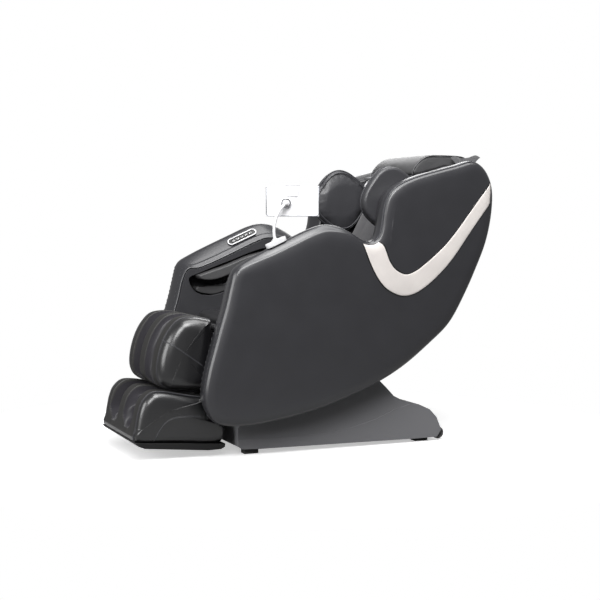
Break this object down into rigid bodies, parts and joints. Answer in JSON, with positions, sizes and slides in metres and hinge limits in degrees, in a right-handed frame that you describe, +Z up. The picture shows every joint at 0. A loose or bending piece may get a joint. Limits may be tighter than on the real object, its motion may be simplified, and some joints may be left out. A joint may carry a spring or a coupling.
{
  "type": "massage chair",
  "caption": "Padded leather massage chair on a floor base: tilting body, lifting leg rest with sliding foot unit, roller carriage in the back, armrest keys and a swivelling phone holder.",
  "frame": {"origin": "on the floor, at the centre of the overall footprint", "axes": "+Z up, the chair faces -Y, +X is the sitter's left"},
  "size_m": [0.7488, 1.418, 1.1374],
  "materials": {
    "leather": "fine grained black leather, soft sheen",
    "fabric": "dull woven cloth over foam, dark grey",
    "stripe": "cream inlay with a thin pale edge",
    "base_plastic": "moulded dark grey plastic, fine texture",
    "frame_steel": "powder coated square tube",
    "shaft_steel": "ground steel",
    "motor_plastic": "black moulded housing",
    "rubber": "matte black rubber",
    "inlet": "black socket plate",
    "rocker": "red rocker key",
    "white_gloss": "glossy white moulding",
    "collar": "polished ring",
    "key": "black key cap with a plain white mark"
  },
  "bodies": {
    "base": {"base_cover": "base_plastic", "base_frame": "frame_steel", "base_feet": "rubber", "power_inlet": "inlet", "tilt_shaft": "shaft_steel", "tilt_actuator": "motor_plastic", "control_box": "motor_plastic"},
    "wheel_left": {"wheel_left": "rubber"},
    "wheel_right": {"wheel_right": "rubber"},
    "power_rocker": {"power_rocker": "rocker"},
    "tilt_rod": {"tilt_rod": "shaft_steel"},
    "chair": {"body_frame": "frame_steel", "side_shell_left": "leather", "side_shell_right": "leather", "side_liner_left": "leather", "side_liner_right": "leather", "side_stripe_left": "stripe", "side_stripe_right": "stripe", "arm_pad_left": "fabric", "arm_pad_right": "fabric", "seat_cushion": "leather", "seat_valance": "base_plastic", "back_shell": "base_plastic", "back_pad": "fabric", "head_pillow": "leather", "shoulder_wing_left": "leather", "shoulder_wing_right": "leather", "speakers": "white_gloss", "key_panel": "white_gloss", "guide_bars": "shaft_steel", "screw_motor": "motor_plastic", "legrest_shaft": "shaft_steel", "leg_actuator": "motor_plastic", "holder_foot": "white_gloss"},
    "lead_screw": {"lead_screw": "shaft_steel"},
    "carriage": {"massage_carriage": "motor_plastic"},
    "massage_arm_left": {"massage_arm_left": "shaft_steel"},
    "massage_arm_right": {"massage_arm_right": "shaft_steel"},
    "roller_left_upper": {"roller_left_upper": "rubber"},
    "roller_left_lower": {"roller_left_lower": "rubber"},
    "roller_right_upper": {"roller_right_upper": "rubber"},
    "roller_right_lower": {"roller_right_lower": "rubber"},
    "leg_rest": {"calf_shell": "leather", "calf_pads": "fabric", "calf_frame": "frame_steel"},
    "leg_rod": {"leg_rod": "shaft_steel"},
    "foot_unit": {"foot_shell": "leather", "foot_pads": "fabric", "foot_tray": "base_plastic", "foot_rods": "shaft_steel"},
    "foot_roller": {"foot_roller": "rubber"},
    "holder_arm": {"holder_arm": "white_gloss"},
    "holder_head": {"holder_plate": "white_gloss", "holder_collar": "collar"},
    "holder_jaw": {"holder_jaw": "white_gloss"},
    "key_1": {"key_1": "key"},
    "key_2": {"key_2": "key"},
    "key_3": {"key_3": "key"},
    "key_4": {"key_4": "key"},
    "key_5": {"key_5": "key"}
  },
  "joints": [
    {"name": "body_tilt", "type": "hinge", "parent": "base", "child": "chair", "pos_m": [0, 0.06, 0.3], "axis": [-1, 0, 0], "range_deg": [0, 20]},
    {"name": "wheel_left_spin", "type": "hinge", "parent": "base", "child": "wheel_left", "pos_m": [0.237, 0.533, 0.03], "axis": [1, 0, 0], "continuous": true},
    {"name": "wheel_right_spin", "type": "hinge", "parent": "base", "child": "wheel_right", "pos_m": [-0.237, 0.533, 0.03], "axis": [1, 0, 0], "continuous": true},
    {"name": "rocker_swing", "type": "hinge", "parent": "base", "child": "power_rocker", "pos_m": [-0.11, 0.52172, 0.06648], "axis": [1, 0, 0], "range_deg": [-8, 8]},
    {"name": "tilt_rod_push", "type": "slide", "parent": "base", "child": "tilt_rod", "axis": [0, -1, 0], "range_m": [0, 0.05229]},
    {"name": "carriage_travel", "type": "slide", "parent": "chair", "child": "carriage", "axis": [0, 0.4695, 0.8829], "range_m": [-0.16, 0.24]},
    {"name": "screw_turn", "type": "hinge", "parent": "chair", "child": "lead_screw", "pos_m": [0, 0.4462, 0.63626], "axis": [0, 0.4695, 0.8829], "range_deg": [-2890, 4330]},
    {"name": "massage_arm_left_knead", "type": "hinge", "parent": "carriage", "child": "massage_arm_left", "pos_m": [0, 0.38881, 0.66677], "axis": [1, 0, 0], "range_deg": [-5, 5]},
    {"name": "roller_left_upper_spin", "type": "hinge", "parent": "massage_arm_left", "child": "roller_left_upper", "pos_m": [0.069, 0.39432, 0.72613], "axis": [1, 0, 0], "continuous": true},
    {"name": "roller_left_lower_spin", "type": "hinge", "parent": "massage_arm_left", "child": "roller_left_lower", "pos_m": [0.069, 0.34268, 0.62901], "axis": [1, 0, 0], "continuous": true},
    {"name": "massage_arm_right_knead", "type": "hinge", "parent": "carriage", "child": "massage_arm_right", "pos_m": [0, 0.38881, 0.66677], "axis": [1, 0, 0], "range_deg": [-5, 5]},
    {"name": "roller_right_upper_spin", "type": "hinge", "parent": "massage_arm_right", "child": "roller_right_upper", "pos_m": [-0.069, 0.39432, 0.72613], "axis": [1, 0, 0], "continuous": true},
    {"name": "roller_right_lower_spin", "type": "hinge", "parent": "massage_arm_right", "child": "roller_right_lower", "pos_m": [-0.069, 0.34268, 0.62901], "axis": [1, 0, 0], "continuous": true},
    {"name": "leg_rest_lift", "type": "hinge", "parent": "chair", "child": "leg_rest", "pos_m": [0, -0.365, 0.47], "axis": [-1, 0, 0], "range_deg": [0, 75]},
    {"name": "leg_rod_push", "type": "slide", "parent": "chair", "child": "leg_rod", "axis": [0, -0.9866, 0.1633], "range_m": [0, 0.0489]},
    {"name": "foot_unit_extend", "type": "slide", "parent": "leg_rest", "child": "foot_unit", "axis": [0, -0.1271, -0.9919], "range_m": [0, 0.12]},
    {"name": "foot_roller_spin", "type": "hinge", "parent": "foot_unit", "child": "foot_roller", "pos_m": [0, -0.56, 0.103], "axis": [1, 0, 0], "continuous": true},
    {"name": "holder_swivel", "type": "hinge", "parent": "chair", "child": "holder_arm", "pos_m": [0.334, -0.20081, 0.80132], "axis": [0, -0.4061, 0.9138], "range_deg": [-60, 60]},
    {"name": "holder_nod", "type": "hinge", "parent": "holder_arm", "child": "holder_head", "pos_m": [0.326, -0.15481, 0.93832], "axis": [0.3907, 0.9205, 0], "range_deg": [-15, 15]},
    {"name": "jaw_slide", "type": "slide", "parent": "holder_head", "child": "holder_jaw", "axis": [0, 0, 1], "range_m": [0, 0.035], "stiffness_N_per_m": 60, "springref_m": -0.02},
    {"name": "key_1_press", "type": "slide", "parent": "chair", "child": "key_1", "axis": [-0.6711, 0.2972, -0.6792], "range_m": [0, 0.0012], "stiffness_N_per_m": 600, "springref_m": -0.0004},
    {"name": "key_2_press", "type": "slide", "parent": "chair", "child": "key_2", "axis": [-0.6711, 0.2972, -0.6792], "range_m": [0, 0.0012], "stiffness_N_per_m": 600, "springref_m": -0.0004},
    {"name": "key_3_press", "type": "slide", "parent": "chair", "child": "key_3", "axis": [-0.6711, 0.2972, -0.6792], "range_m": [0, 0.0012], "stiffness_N_per_m": 600, "springref_m": -0.0004},
    {"name": "key_4_press", "type": "slide", "parent": "chair", "child": "key_4", "axis": [-0.6711, 0.2972, -0.6792], "range_m": [0, 0.0012], "stiffness_N_per_m": 600, "springref_m": -0.0004},
    {"name": "key_5_press", "type": "slide", "parent": "chair", "child": "key_5", "axis": [-0.6711, 0.2972, -0.6792], "range_m": [0, 0.0012], "stiffness_N_per_m": 600, "springref_m": -0.0004}
  ],
  "couplings": [
    {"joint": "tilt_rod_push", "follows": "body_tilt", "m_per_rad": 0.14924},
    {"joint": "screw_turn", "follows": "carriage_travel", "rad_per_m": 314.16},
    {"joint": "leg_rod_push", "follows": "leg_rest_lift", "m_per_rad": 0.0372}
  ]
}
